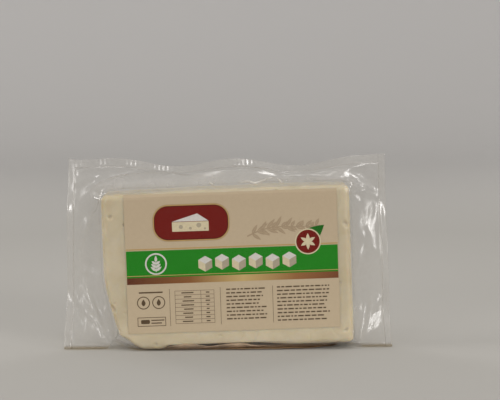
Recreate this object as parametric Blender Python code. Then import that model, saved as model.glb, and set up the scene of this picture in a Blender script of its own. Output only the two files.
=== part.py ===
"""Vacuum pack of white brined cheese, standing on its long lower edge.

Metres, +Z up. The printed side faces -Y. The origin is on the ground under the middle of the pack.
The pack is one closed bag: two sheets of clear film drawn tight round a cheese block and welded together
all round, so that a thin margin stands out at mid depth. Its lower margin is folded back under the block.
The label lies flush in the front of the bag.
"""

import math

import bmesh
import bpy
from mathutils import Matrix, Vector, noise

MM = 0.001

# Cheese block, as the film shapes it
BLOCK_WIDTH = 157 * MM
BLOCK_DEPTH = 37 * MM
BLOCK_HEIGHT = 101.5 * MM
BLOCK_EDGE = 4 * MM
BLOCK_EDGE_SEGMENTS = 3
BLOCK_CELL = 9 * MM
BLOCK_LIFT = 1.6 * MM
BLOCK_LEAN = math.radians(-1.55)
BLOCK_CROWN = 0.8 * MM
BLOCK_UNEVEN = 0.6 * MM
BLOCK_UNEVEN_SIZE = 32 * MM
UNEVEN_SHIFTS = (Vector((0, 0, 0)), Vector((31.7, 0, 0)), Vector((0, 31.7, 0)))
SLUMP = 8 * MM
SLUMP_RISE = 8.5 * MM
TOP_SAG = 1.6 * MM
FILM_UNDER = 0.5 * MM

# Welded margin round the block
POUCH_WIDTH_LOW = 209 * MM
POUCH_WIDTH_TOP = 202 * MM
POUCH_HEIGHT = 118.5 * MM
TOP_WAVE = 2.4 * MM
TOP_WAVE_LENGTH = 75 * MM
TOP_WAVE_CREST = 5 * MM
CORNER_LIFT = 5.0 * MM
FILM_PAIR = 0.8 * MM
FILLET = 9 * MM
FILLET_REACH = 4.6 * MM
SWAY = 3.6 * MM
SWAY_REACH = 20 * MM
SIDE_SWAY_LENGTH = 88 * MM
PLEAT_HEIGHT = 2.4 * MM
PLEAT_WIDTH = 3.2 * MM
PLEAT_REACH = 18 * MM
FOLD_RADIUS = 1.2 * MM
FOLDED_STRIP = 13 * MM
FOLD_FORWARD = 10 * MM
FOLD_RISE = 30 * MM
FOLD_REACH = 8 * MM
MARGIN_COLUMNS = 66
MARGIN_ROWS = 46

# Film gathered under the block's front edge
FOOT_WIDTH = 136 * MM
FOOT_RIGHT = 4 * MM
FOOT_BACK = 15 * MM
FOOT_FRONT = 13 * MM
FOOT_BULGE = 4.5 * MM
FOOT_BULGE_MIDDLE = -11 * MM
FOOT_BULGE_SPREAD = 24 * MM
FOOT_RIPPLE = 0.9 * MM
FOOT_RIPPLE_LENGTH = 17 * MM
FOOT_BITE = 1.6 * MM
FOOT_CREST = 1.8 * MM
FOOT_COLUMNS = 30

# Label sheet
LABEL_WIDTH = 134 * MM
LABEL_HEIGHT = 88 * MM
LABEL_THICKNESS = 0.5 * MM
LABEL_RIGHT = 3 * MM
LABEL_UP = 4.4 * MM
LABEL_CORNER = 0.8 * MM
LABEL_COLUMN = 10 * MM
LABEL_ROW = 0.9 * MM
LABEL_BENT = 5 * MM
FIT_GAP = 0.3 * MM
CUTTER_PROUD = 4 * MM

CHEESE_WHITE = (0.80, 0.70, 0.47, 1)
PAPER_BEIGE = (0.62, 0.49, 0.33, 1)

BLOCK_CENTRE = Vector((0, 0, BLOCK_LIFT + BLOCK_HEIGHT / 2))
BLOCK_PLACE = Matrix.Translation(BLOCK_CENTRE) @ Matrix.Rotation(BLOCK_LEAN, 4, "Y")
BLOCK_FRONT = -BLOCK_DEPTH / 2


def clear_scene():
    for found in list(bpy.data.objects):
        bpy.data.objects.remove(found, do_unlink=True)


def ramp(value, low, high):
    """0 below low, 1 above high, and a smooth rise between."""
    share = min(max((value - low) / (high - low), 0), 1)
    return share * share * (3 - 2 * share)


def bump(value, middle, spread):
    return math.exp(-(((value - middle) / spread) ** 2))


def material(name, colour, roughness):
    made = bpy.data.materials.new(name)
    made.use_nodes = True
    surface = made.node_tree.nodes["Principled BSDF"]
    surface.inputs["Base Color"].default_value = colour
    surface.inputs["Roughness"].default_value = roughness
    surface.inputs["Metallic"].default_value = 0
    return made


def add_object(name, bm, collection):
    mesh = bpy.data.meshes.new(name)
    bm.normal_update()
    bm.to_mesh(mesh)
    bm.free()
    made = bpy.data.objects.new(name, mesh)
    collection.objects.link(made)
    return made


def box(width, depth, height):
    bm = bmesh.new()
    bmesh.ops.create_cube(bm, size=1)
    bmesh.ops.scale(bm, vec=(width, depth, height), verts=bm.verts)
    return bm


def slice_evenly(bm, axis, low, high, cell):
    """Cuts the mesh by planes across axis, about a cell apart, from low to high."""
    normal = Vector((0, 0, 0))
    normal[axis] = 1
    count = max(1, round((high - low) / cell))
    for step in range(count + 1):
        everything = bm.verts[:] + bm.edges[:] + bm.faces[:]
        height = low + (high - low) * step / count
        bmesh.ops.bisect_plane(bm, geom=everything, dist=1e-7, plane_co=normal * height, plane_no=normal)


def slump(point):
    """How far the block has given way at a point: in and up at its lower left corner, down at the upper one."""
    left = ramp(-point.x, BLOCK_WIDTH * 0.28, BLOCK_WIDTH * 0.5)
    inward = SLUMP * left * ramp(-point.z, 0, BLOCK_HEIGHT * 0.5)
    upward = SLUMP_RISE * left**3 * ramp(-point.z, BLOCK_HEIGHT * 0.3, BLOCK_HEIGHT * 0.5)
    downward = TOP_SAG * ramp(-point.x, 0, BLOCK_WIDTH * 0.5) * ramp(point.z, 0, BLOCK_HEIGHT * 0.5)
    return Vector((inward, 0, upward - downward))


def softened(point):
    """A point of the plain block, moved to the softer form of the real one."""
    moved = point + slump(point)
    off_front = ramp(point.y, BLOCK_FRONT, BLOCK_FRONT + BLOCK_EDGE)
    across = (2 * point.x / BLOCK_WIDTH) ** 2 + (2 * point.z / BLOCK_HEIGHT) ** 2
    moved.y -= BLOCK_CROWN * off_front * ramp(point.y, 0, BLOCK_DEPTH / 2) * across
    spot = point / BLOCK_UNEVEN_SIZE
    drift = Vector(noise.noise(spot + shift) for shift in UNEVEN_SHIFTS) * BLOCK_UNEVEN * off_front
    moved.x += drift.x
    moved.y -= abs(drift.y)
    moved.z += drift.z
    return moved


def block_mesh():
    bm = box(BLOCK_WIDTH, BLOCK_DEPTH, BLOCK_HEIGHT)
    bmesh.ops.bevel(
        bm,
        geom=bm.edges[:],
        offset=BLOCK_EDGE,
        segments=BLOCK_EDGE_SEGMENTS,
        profile=0.5,
        affect="EDGES",
        material=-1,
    )
    for axis, size in enumerate((BLOCK_WIDTH, BLOCK_DEPTH, BLOCK_HEIGHT)):
        reach = size / 2 - BLOCK_EDGE
        slice_evenly(bm, axis, -reach, reach, BLOCK_CELL)
    for vert in bm.verts:
        vert.co = BLOCK_PLACE @ softened(vert.co)
        vert.co.z = max(vert.co.z, FILM_UNDER)
    return bm


def half_width(height):
    share = min(max(height / POUCH_HEIGHT, 0), 1)
    return (POUCH_WIDTH_LOW * (1 - share) + POUCH_WIDTH_TOP * share) / 2


def top_height(across):
    """Height of the margin's top edge; across runs from -1 at the left corner to 1 at the right one."""
    x = across * POUCH_WIDTH_TOP / 2
    wave = math.cos(2 * math.pi * (x - TOP_WAVE_CREST) / TOP_WAVE_LENGTH)
    return POUCH_HEIGHT + TOP_WAVE * wave + CORNER_LIFT * across**6


def outside(x, z):
    """How far a point of the margin is outside the block, seen from the front."""
    local = BLOCK_PLACE.inverted() @ Vector((x, 0, z))
    local -= slump(local)
    over_x = max(abs(local.x) - BLOCK_WIDTH / 2 + BLOCK_EDGE, 0)
    over_z = max(abs(local.z) - BLOCK_HEIGHT / 2 + BLOCK_EDGE, 0)
    return max(math.hypot(over_x, over_z) - BLOCK_EDGE, 0)


def sway(x, z):
    """How far the margin swings forward or back from mid depth; at its foot it comes forward."""
    loose = ramp(outside(x, z), 0, SWAY_REACH)
    forward = FOLD_FORWARD * ramp(outside(x, z), 0, FOLD_REACH) * (1 - ramp(z, 0, FOLD_RISE))
    over_top = ramp(z, BLOCK_CENTRE.z, BLOCK_CENTRE.z + BLOCK_HEIGHT / 2)
    beside = ramp(abs(x), BLOCK_WIDTH * 0.4, BLOCK_WIDTH * 0.5)
    grounded = ramp(z, 0, FOLDED_STRIP)
    along_top = math.sin(2 * math.pi * (x - TOP_WAVE_CREST) / TOP_WAVE_LENGTH)
    up_side = math.sin(2 * math.pi * z / SIDE_SWAY_LENGTH + math.copysign(0.9, x))
    return SWAY * loose * grounded * (over_top * along_top + 0.8 * beside * up_side) - forward


def pleat(x, z):
    """Extra thickness where spare film stands in a ridge from each of the block's corners."""
    ridge = 0
    for side in (-1, 1):
        for level in (-1, 1):
            corner = BLOCK_CENTRE + Vector((side * BLOCK_WIDTH, 0, level * BLOCK_HEIGHT)) / 2
            out = Vector((side * 1.1, 0, level)).normalized()
            offset = Vector((x, 0, z)) - corner
            along = offset.dot(out)
            aside = (offset - out * along).length
            fade = math.exp(-max(along, 0) / PLEAT_REACH) * ramp(along, -4 * MM, 2 * MM)
            ridge += PLEAT_HEIGHT * fade * bump(aside, 0, PLEAT_WIDTH)
    return ridge


def margin_mesh():
    """The two welded sheets as one, upright down to the ground and then bent back along it."""
    bm = bmesh.new()
    bmesh.ops.create_grid(bm, x_segments=MARGIN_COLUMNS, y_segments=MARGIN_ROWS, size=1)
    bm.normal_update()
    flat = {vert: vert.co.copy() for vert in bm.verts}
    thick = bmesh.ops.extrude_face_region(bm, geom=bm.faces[:], use_keep_orig=True)
    behind = {found for found in thick["geom"] if isinstance(found, bmesh.types.BMVert)}
    bend = FOLD_RADIUS * math.pi / 2
    for vert in bm.verts:
        across, up = (flat.get(vert) or vert.co).xy
        upright = top_height(across) - FOLD_RADIUS - FILM_PAIR / 2
        run = (1 - up) / 2 * (upright + bend + FOLDED_STRIP)
        turn = min(max((run - upright) / FOLD_RADIUS, 0), math.pi / 2)
        strip = max(run - upright - bend, 0)
        z = FILM_PAIR / 2 + FOLD_RADIUS * (1 - math.sin(turn)) + max(upright - run, 0)
        x = across * half_width(z)
        spread = FILM_PAIR
        if turn == 0:
            spread += FILLET * math.exp(-outside(x, z) / FILLET_REACH) + pleat(x, z)
        y = sway(x, z) + FOLD_RADIUS * (1 - math.cos(turn)) + strip
        normal = Vector((0, math.cos(turn), math.sin(turn)))
        vert.co = Vector((x, y, z)) + normal * spread * (0.5 if vert in behind else -0.5)
    bmesh.ops.recalc_face_normals(bm, faces=bm.faces)
    return bm


def foot_mesh():
    """The gathered film: flat below, reaching up into the block, and bulging out at its middle."""
    bm = box(FOOT_WIDTH, 2, 1)
    slice_evenly(bm, 0, -FOOT_WIDTH / 2, FOOT_WIDTH / 2, FOOT_WIDTH / FOOT_COLUMNS)
    slice_evenly(bm, 1, -0.8, 0.8, 0.4)
    for vert in bm.verts:
        end = 1 - 0.5 * ramp(abs(vert.co.x), FOOT_WIDTH * 0.42, FOOT_WIDTH * 0.5)
        vert.co.x += FOOT_RIGHT
        x, depth, level = vert.co
        bulge = bump(x, FOOT_BULGE_MIDDLE, FOOT_BULGE_SPREAD)
        ripple = FOOT_RIPPLE * math.sin(2 * math.pi * x / FOOT_RIPPLE_LENGTH)
        front = (FOOT_FRONT + FOOT_BULGE * bulge + ripple) * end
        underside = Vector((x, 0, -BLOCK_HEIGHT / 2))
        low = (BLOCK_PLACE @ (underside + slump(underside))).z
        top = max(low, FILM_UNDER) + FOOT_BITE + FOOT_CREST * bulge * ramp(-depth, 0, 1)
        rounded = 1 - 0.45 * ramp(abs(depth), 0.8, 1)
        vert.co.y = depth * (front if depth < 0 else FOOT_BACK)
        vert.co.z = top * rounded if level > 0 else 0
    return bm


def rolled(point):
    """How far the block's front has turned back at a point near its upper edge."""
    over = point.z - slump(point).z - BLOCK_HEIGHT / 2 + BLOCK_EDGE
    over = min(max(over, 0), BLOCK_EDGE)
    return BLOCK_EDGE - math.sqrt(BLOCK_EDGE**2 - over**2)


def label_mesh(spare):
    """The label's plate, or with spare round it the pocket that it lies in."""
    bm = box(LABEL_WIDTH + 2 * spare, LABEL_THICKNESS, LABEL_HEIGHT + 2 * spare)
    upright = [edge for edge in bm.edges if abs(edge.verts[0].co.y - edge.verts[1].co.y) > LABEL_THICKNESS / 2]
    bmesh.ops.bevel(
        bm,
        geom=upright,
        offset=LABEL_CORNER + spare,
        segments=2,
        profile=0.5,
        affect="EDGES",
        material=-1,
    )
    slice_evenly(bm, 0, -LABEL_WIDTH * 0.45, LABEL_WIDTH * 0.45, LABEL_COLUMN)
    slice_evenly(bm, 2, LABEL_HEIGHT / 2 - LABEL_BENT, LABEL_HEIGHT / 2 - LABEL_ROW, LABEL_ROW)
    place = Vector((LABEL_RIGHT, BLOCK_FRONT + LABEL_THICKNESS / 2, LABEL_UP))
    for vert in bm.verts:
        if spare:
            vert.co.y = LABEL_THICKNESS / 2 + spare if vert.co.y > 0 else -CUTTER_PROUD
        spot = vert.co + place
        spot.y += rolled(spot)
        vert.co = BLOCK_PLACE @ spot
    return bm


def join_or_cut(target, tool, operation):
    tool.hide_render = True
    tool.display_type = "WIRE"
    step = target.modifiers.new(tool.name, "BOOLEAN")
    step.object = tool
    step.operation = operation
    step.solver = "EXACT"


def main():
    clear_scene()
    pack = bpy.data.collections.new("cheese_vacuum_pack")
    tools = bpy.data.collections.new("cutters")
    for made in (pack, tools):
        bpy.context.scene.collection.children.link(made)

    pouch = add_object("vacuum_pouch", block_mesh(), pack)
    join_or_cut(pouch, add_object("margin_tool", margin_mesh(), tools), "UNION")
    join_or_cut(pouch, add_object("foot_tool", foot_mesh(), tools), "UNION")
    join_or_cut(pouch, add_object("label_pocket", label_mesh(FIT_GAP), tools), "DIFFERENCE")
    pouch.data.materials.append(material("cheese_under_film", CHEESE_WHITE, 0.3))

    label = add_object("printed_label", label_mesh(0), pack)
    label.data.materials.append(material("label_paper", PAPER_BEIGE, 0.5))


main()
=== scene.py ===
"""A vacuum pack of white brined cheese: clear film, the cheese block inside it, and its printed label.

Metres, +Z up, the printed side faces -Y. The pack stands on its long lower edge, on film folded under it.
"""

import math

import bmesh
import bpy
import numpy as np
from mathutils import Matrix, Vector, kdtree, noise
from mathutils.bvhtree import BVHTree


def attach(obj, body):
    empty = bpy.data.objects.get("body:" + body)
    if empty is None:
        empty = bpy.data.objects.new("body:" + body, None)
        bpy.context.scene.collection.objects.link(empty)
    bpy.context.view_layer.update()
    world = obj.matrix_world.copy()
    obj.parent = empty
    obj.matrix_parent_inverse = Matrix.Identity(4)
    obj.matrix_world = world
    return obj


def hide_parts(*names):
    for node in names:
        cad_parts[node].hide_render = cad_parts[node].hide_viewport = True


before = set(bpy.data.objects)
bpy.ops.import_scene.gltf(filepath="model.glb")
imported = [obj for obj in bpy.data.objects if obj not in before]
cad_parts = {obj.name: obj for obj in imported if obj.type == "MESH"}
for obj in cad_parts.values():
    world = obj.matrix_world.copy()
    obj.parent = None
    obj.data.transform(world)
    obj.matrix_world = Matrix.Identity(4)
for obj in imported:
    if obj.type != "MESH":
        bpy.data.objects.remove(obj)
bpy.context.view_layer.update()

MM = 0.001

# Studio
# A pale painted floor that curves up far away all round, so that every side of the pack is seen against
# the same soft grey.
FLOOR_GREY = (0.427, 0.414, 0.389, 1)
STUDIO_GREY = (0.745, 0.73, 0.722, 1)
FLOOR_RADIUS = 0.7
STUDIO_RADIUS = 3.2
STUDIO_HEIGHT = 1.5
CAMERA_DISTANCE = 1.0
CAMERA_LENS = 112.7
CAMERA_TARGET = Vector((14.5 * MM, 0, 93.9 * MM))
CAMERA_ELEVATION = math.radians(5.0)
CAMERA_AZIMUTH = math.radians(-0.6)
CAMERA_ROLL = math.radians(-0.38)


def show(name, bm, finish, smooth=True):
    """Makes a finished mesh object of a bmesh, with one material. The faces go in the order of their points,
    each from its first one, so that every run gives the same mesh."""
    mesh = bpy.data.meshes.new(name)
    bm.verts.index_update()
    faces = []
    for face in bm.faces:
        corners = [vert.index for vert in face.verts]
        first = corners.index(min(corners))
        faces.append(corners[first:] + corners[:first])
    mesh.from_pydata([vert.co[:] for vert in bm.verts], [], sorted(faces))
    bm.free()
    mesh.materials.append(finish)
    mesh.polygons.foreach_set("use_smooth", [smooth] * len(mesh.polygons))
    made = bpy.data.objects.new(name, mesh)
    bpy.context.scene.collection.objects.link(made)
    return made


def new_finish(name):
    finish = bpy.data.materials.new(name)
    finish.use_nodes = True
    nodes = finish.node_tree.nodes
    return finish, nodes, finish.node_tree.links, nodes["Principled BSDF"]


def note(piece, name, values):
    """Keeps one value for each point of a piece, which its finish reads."""
    kept = piece.data.attributes.new(name, "FLOAT", "POINT")
    kept.data.foreach_set("value", values)


def spotted(nodes, links, scale, detail):
    """Noise in the piece's own coordinates."""
    place = nodes.new("ShaderNodeTexCoord")
    spots = nodes.new("ShaderNodeTexNoise")
    spots.inputs["Scale"].default_value = scale
    spots.inputs["Detail"].default_value = detail
    links.new(place.outputs["Object"], spots.inputs["Vector"])
    return spots


def graded(nodes, links, axis, low, high, at_low=0.0, at_high=1.0):
    """A value that runs from at_low to at_high between two places along X, Y or Z."""
    place = nodes.new("ShaderNodeTexCoord")
    split = nodes.new("ShaderNodeSeparateXYZ")
    links.new(place.outputs["Object"], split.inputs["Vector"])
    share = nodes.new("ShaderNodeMapRange")
    share.inputs["From Min"].default_value = low
    share.inputs["From Max"].default_value = high
    share.inputs["To Min"].default_value = at_low
    share.inputs["To Max"].default_value = at_high
    links.new(split.outputs[axis], share.inputs["Value"])
    return share


paint, nodes, links, paint_surface = new_finish("studio_paint")
place = nodes.new("ShaderNodeTexCoord")
distance = nodes.new("ShaderNodeVectorMath")
distance.operation = "LENGTH"
links.new(place.outputs["Object"], distance.inputs[0])
nearness = nodes.new("ShaderNodeMapRange")
nearness.inputs["From Min"].default_value = FLOOR_RADIUS
nearness.inputs["From Max"].default_value = STUDIO_RADIUS
links.new(distance.outputs["Value"], nearness.inputs["Value"])
paint_tone = nodes.new("ShaderNodeValToRGB")
paint_tone.color_ramp.elements[0].color = FLOOR_GREY
paint_tone.color_ramp.elements[1].color = STUDIO_GREY
links.new(nearness.outputs["Result"], paint_tone.inputs["Fac"])
links.new(paint_tone.outputs["Color"], paint_surface.inputs["Base Color"])
paint_surface.inputs["Roughness"].default_value = 1.0
paint_surface.inputs["Specular IOR Level"].default_value = 0.0

bm = bmesh.new()
rim = [bm.verts.new((0.0, 0, 0)), bm.verts.new((STUDIO_RADIUS * 0.6, 0, 0))]
cove = STUDIO_RADIUS * 0.4
for step in range(1, 9):
    turn = math.pi / 2 * step / 8
    rim.append(bm.verts.new((STUDIO_RADIUS * 0.6 + cove * math.sin(turn), 0, cove * (1 - math.cos(turn)))))
rim.append(bm.verts.new((STUDIO_RADIUS, 0, STUDIO_HEIGHT)))
profile = [bm.edges.new(pair) for pair in zip(rim, rim[1:])]
bmesh.ops.spin(
    bm, geom=rim + profile, cent=(0, 0, 0), axis=(0, 0, 1), angle=2 * math.pi, steps=64, use_merge=True
)
bmesh.ops.remove_doubles(bm, verts=bm.verts, dist=1e-5)
bmesh.ops.recalc_face_normals(bm, faces=bm.faces)
show("studio_floor", bm, paint)

camera = bpy.data.objects.new("camera", bpy.data.cameras.new("camera"))
bpy.context.scene.collection.objects.link(camera)
bpy.context.scene.camera = camera
camera.data.lens = CAMERA_LENS
camera.data.sensor_width = 36
camera.data.clip_start = 0.01
camera.data.clip_end = 50
back = Vector(
    (
        math.sin(CAMERA_AZIMUTH) * math.cos(CAMERA_ELEVATION),
        -math.cos(CAMERA_AZIMUTH) * math.cos(CAMERA_ELEVATION),
        math.sin(CAMERA_ELEVATION),
    )
)
camera.location = CAMERA_TARGET + back * CAMERA_DISTANCE
camera.rotation_mode = "QUATERNION"
roll = Matrix.Rotation(CAMERA_ROLL, 3, "Z").to_quaternion()
camera.rotation_quaternion = (-back).to_track_quat("-Z", "Y") @ roll

world = bpy.data.worlds.new("soft_room")
bpy.context.scene.world = world
world.use_nodes = True
world.node_tree.nodes["Background"].inputs["Color"].default_value = (1.0, 0.985, 0.965, 1)
world.node_tree.nodes["Background"].inputs["Strength"].default_value = 0.66
bpy.context.scene.view_settings.view_transform = "Standard"
bpy.context.scene.view_settings.look = "None"

PANEL_SIZE = 0.9
LAMP_SIZE = 0.09
PANEL_SPREAD = math.radians(65)
PANEL_AIM = Vector((0, 0, 0.06))
LIGHTS = {
    "front_left_panel": ((-1.7, -2.1, 0.7), 2.1, PANEL_SIZE),
    "front_right_panel": ((1.8, -1.9, 0.65), 4.5, PANEL_SIZE),
    "left_side_panel": ((-2.2, -0.25, 0.95), 1.8, PANEL_SIZE),
    "rear_left_panel": ((-1.8, 2.1, 0.6), 3.9, PANEL_SIZE),
    "rear_right_panel": ((1.8, 2.1, 0.6), 3.9, PANEL_SIZE),
    "overhead_lamp": ((0.035, -0.5, 1.3), 0.2, LAMP_SIZE),
}
for name, (place, power, size) in LIGHTS.items():
    panel = bpy.data.lights.new(name, "AREA")
    panel.shape = "SQUARE"
    panel.size = size
    panel.spread = PANEL_SPREAD
    panel.energy = power
    panel.color = (1.0, 0.98, 0.96)
    holder = bpy.data.objects.new(name, panel)
    holder.location = place
    holder.rotation_euler = (PANEL_AIM - Vector(place)).to_track_quat("-Z", "Y").to_euler()
    bpy.context.scene.collection.objects.link(holder)

# Cheese block
# White brined cheese, cut from a larger slab and drained. Its faces are pressed smooth by the film, with
# small holes left by whey; its edges are soft, and one lower corner has given way.
BLOCK_WIDTH = 157 * MM
BLOCK_DEPTH = 37 * MM
BLOCK_HEIGHT = 101.5 * MM
BLOCK_LIFT = 1.6 * MM
BLOCK_LEAN = math.radians(-1.55)
BLOCK_EDGE = 4 * MM
BLOCK_CROWN = 0.8 * MM
BLOCK_UNEVEN = 0.6 * MM
BLOCK_UNEVEN_SIZE = 32 * MM
UNEVEN_SHIFTS = (Vector((0, 0, 0)), Vector((31.7, 0, 0)), Vector((0, 31.7, 0)))
SLUMP = 8 * MM
SLUMP_RISE = 8.5 * MM
TOP_SAG = 1.6 * MM
FILM_UNDER = 0.5 * MM
CHEESE_INSET = 0.5 * MM
CHEESE_CELL = 0.78 * MM
PITS = 420
PIT_REACH = 3.4 * MM
HOLLOW = 3.0 * MM
BLOCK_CENTRE = Vector((0, 0, BLOCK_LIFT + BLOCK_HEIGHT / 2))
BLOCK_PLACE = Matrix.Translation(BLOCK_CENTRE) @ Matrix.Rotation(BLOCK_LEAN, 4, "Y")
BLOCK_UNPLACE = BLOCK_PLACE.inverted()
BLOCK_FRONT = -BLOCK_DEPTH / 2


def ramp(value, low, high):
    """0 below low, 1 above high, and a smooth rise between."""
    share = min(max((value - low) / (high - low), 0), 1)
    return share * share * (3 - 2 * share)


def bump(value, middle, spread):
    return math.exp(-(((value - middle) / spread) ** 2))


def slump(point):
    """How far the block has given way: in and up at its lower left corner, down at the upper left one."""
    left = ramp(-point.x, BLOCK_WIDTH * 0.28, BLOCK_WIDTH * 0.5)
    inward = SLUMP * left * ramp(-point.z, 0, BLOCK_HEIGHT * 0.5)
    upward = SLUMP_RISE * left**3 * ramp(-point.z, BLOCK_HEIGHT * 0.3, BLOCK_HEIGHT * 0.5)
    downward = TOP_SAG * ramp(-point.x, 0, BLOCK_WIDTH * 0.5) * ramp(point.z, 0, BLOCK_HEIGHT * 0.5)
    return Vector((inward, 0, upward - downward))


def softened(point):
    """A point of the plain block, moved to the softer form of the real one."""
    moved = point + slump(point)
    off_front = ramp(point.y, BLOCK_FRONT, BLOCK_FRONT + BLOCK_EDGE)
    across = (2 * point.x / BLOCK_WIDTH) ** 2 + (2 * point.z / BLOCK_HEIGHT) ** 2
    moved.y -= BLOCK_CROWN * off_front * ramp(point.y, 0, BLOCK_DEPTH / 2) * across
    spot = point / BLOCK_UNEVEN_SIZE
    drift = Vector(noise.noise(spot + shift) for shift in UNEVEN_SHIFTS) * BLOCK_UNEVEN * off_front
    moved.x += drift.x
    moved.y -= abs(drift.y)
    moved.z += drift.z
    return moved


def block_low(x):
    """Height of the block's underside over the ground."""
    underside = Vector((x, 0, -BLOCK_HEIGHT / 2))
    return max((BLOCK_PLACE @ (underside + slump(underside))).z, FILM_UNDER)


def block_form(inset, cell, relief=None):
    """The block with rounded edges, inset from its full size, as an even mesh."""
    size = Vector((BLOCK_WIDTH, BLOCK_DEPTH, BLOCK_HEIGHT)) - Vector((2, 2, 2)) * inset
    edge = BLOCK_EDGE - inset
    bm = bmesh.new()
    bmesh.ops.create_cube(bm, size=1)
    bmesh.ops.scale(bm, vec=size, verts=bm.verts)
    for axis in range(3):
        along = [e for e in bm.edges if abs((e.verts[0].co - e.verts[1].co).normalized()[axis]) > 0.9]
        bmesh.ops.subdivide_edges(bm, edges=along, cuts=round(size[axis] / cell) - 1, use_grid_fill=True)
    for vert in bm.verts:
        vert.co = Vector(round(part, 7) for part in vert.co)
    for i, vert in enumerate(sorted(bm.verts, key=lambda vert: vert.co[:])):
        vert.index = i
    bm.verts.sort()
    core = size / 2 - Vector((edge, edge, edge))
    for vert in bm.verts:
        inner = Vector(max(-reach, min(reach, value)) for value, reach in zip(vert.co, core))
        outward = (vert.co - inner).normalized()
        point = inner + outward * edge
        if relief:
            point += outward * relief(point, outward)
        vert.co = BLOCK_PLACE @ softened(point)
        vert.co.z = max(vert.co.z, FILM_UNDER + inset)
    bmesh.ops.recalc_face_normals(bm, faces=bm.faces)
    return bm


# The small holes: many fine ones and a few wide, in loose groups, each stretched along its own line
draw = np.random.default_rng(23)
pits = []
pit_places = kdtree.KDTree(PITS)
block_size = Vector((BLOCK_WIDTH, BLOCK_DEPTH, BLOCK_HEIGHT))
for i in range(PITS):
    if i % 3 == 0 or draw.random() < 0.45:
        side = Vector(draw.uniform(-0.5, 0.5, 3))
        axis = draw.choice(3, p=(0.15, 0.65, 0.2))
        side[axis] = draw.choice((-0.5, 0.5))
        spot = Vector(part * reach for part, reach in zip(side, block_size))
    else:
        spot = pits[-1][0] + Vector(draw.normal(0, 2.4, 3)) * MM
    width = 0.45 + 1.9 * draw.random() ** 3.2
    pits.append((spot, Vector(draw.normal(0, 1, 3)).normalized(), width * MM, draw.uniform(0.35, 0.8)))
    pit_places.insert(spot, i)
pit_places.balance()


def curd_relief(point, outward):
    """How far the surface of the curd stands out from the plain block at a point."""
    edge = 1 - max(abs(part) for part in outward)
    height = 0.16 * noise.noise(point / (11 * MM)) + 0.05 * noise.noise(point / (2.3 * MM))
    height += edge * 1.3 * noise.noise(point / (5 * MM)) + edge * 0.5 * noise.noise(point / (1.9 * MM))
    crack = abs(noise.noise(point / (17 * MM) + Vector((3, 1, 7))))
    height -= 0.35 * bump(crack, 0, 0.018) * ramp(noise.noise(point / (24 * MM)), 0.02, 0.2)
    for place, i, gap in pit_places.find_range(point, PIT_REACH):
        spot, line, width, depth = pits[i]
        away = point - spot
        away -= line * away.dot(line) * 0.45
        height -= depth * width / MM * (1 - ramp(away.length, 0.25 * width, width))
    if outward.y < -0.9:
        height = min(height, 0.05)
    hollow = ramp(point.x, -45 * MM, -36 * MM) * (1 - ramp(point.x, -2 * MM, 44 * MM))
    height -= HOLLOW / MM * hollow * ramp(-outward.z, 0.1, 0.75) * ramp(-point.y, -6 * MM, 8 * MM)
    return height * MM


cheese_flesh, nodes, links, cheese_surface = new_finish("brined_cheese")
patches = spotted(nodes, links, 60, 7)
patches.inputs["Roughness"].default_value = 0.6
tint = nodes.new("ShaderNodeValToRGB")
tint.color_ramp.elements[0].position = 0.35
tint.color_ramp.elements[0].color = (0.50, 0.433, 0.303, 1)
tint.color_ramp.elements[1].position = 0.65
tint.color_ramp.elements[1].color = (0.565, 0.503, 0.376, 1)
links.new(patches.outputs["Fac"], tint.inputs["Fac"])
# Painted light: the cheese is made up to 13% lighter towards its foot, standing in for light bounced up from
# the floor
painted_foot_light = graded(nodes, links, "Z", 8 * MM, 30 * MM, 1.13, 1.0)
flesh_with_painted_light = nodes.new("ShaderNodeVectorMath")
flesh_with_painted_light.operation = "SCALE"
links.new(tint.outputs["Color"], flesh_with_painted_light.inputs[0])
links.new(painted_foot_light.outputs["Result"], flesh_with_painted_light.inputs["Scale"])
links.new(flesh_with_painted_light.outputs["Vector"], cheese_surface.inputs["Base Color"])
grain = spotted(nodes, links, 1400, 5)
fine = nodes.new("ShaderNodeBump")
fine.inputs["Strength"].default_value = 0.35
fine.inputs["Distance"].default_value = 0.08 * MM
links.new(grain.outputs["Fac"], fine.inputs["Height"])
links.new(fine.outputs["Normal"], cheese_surface.inputs["Normal"])
cheese_surface.inputs["Roughness"].default_value = 0.42
cheese_surface.inputs["Specular IOR Level"].default_value = 0.35
cheese_surface.inputs["Subsurface Weight"].default_value = 0.8
cheese_surface.inputs["Subsurface Radius"].default_value = (1.0, 0.75, 0.42)
cheese_surface.inputs["Subsurface Scale"].default_value = 4 * MM

cheese_block = show("cheese_block", block_form(CHEESE_INSET, CHEESE_CELL, curd_relief), cheese_flesh)
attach(cheese_block, "root")
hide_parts("vacuum_pouch")

# Label
# A rectangular sheet of coated paper, slipped in front of the cheese before the bag is sealed. It is printed
# in flat inks, one over the other, and the film holds it against the block.
LABEL_WIDTH = 134 * MM
LABEL_HEIGHT = 88 * MM
LABEL_RIGHT = 3 * MM
LABEL_UP = 4.4 * MM
LABEL_THICKNESS = 0.25 * MM
LABEL_FACE = BLOCK_FRONT + 0.15 * MM
LABEL_CELL = 1.6 * MM
INK_THICKNESS = 0.03 * MM
INK_SINK = 0.05 * MM
INK_STEP = 0.0005 * MM
INK_DEPTH = 0.72


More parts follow.
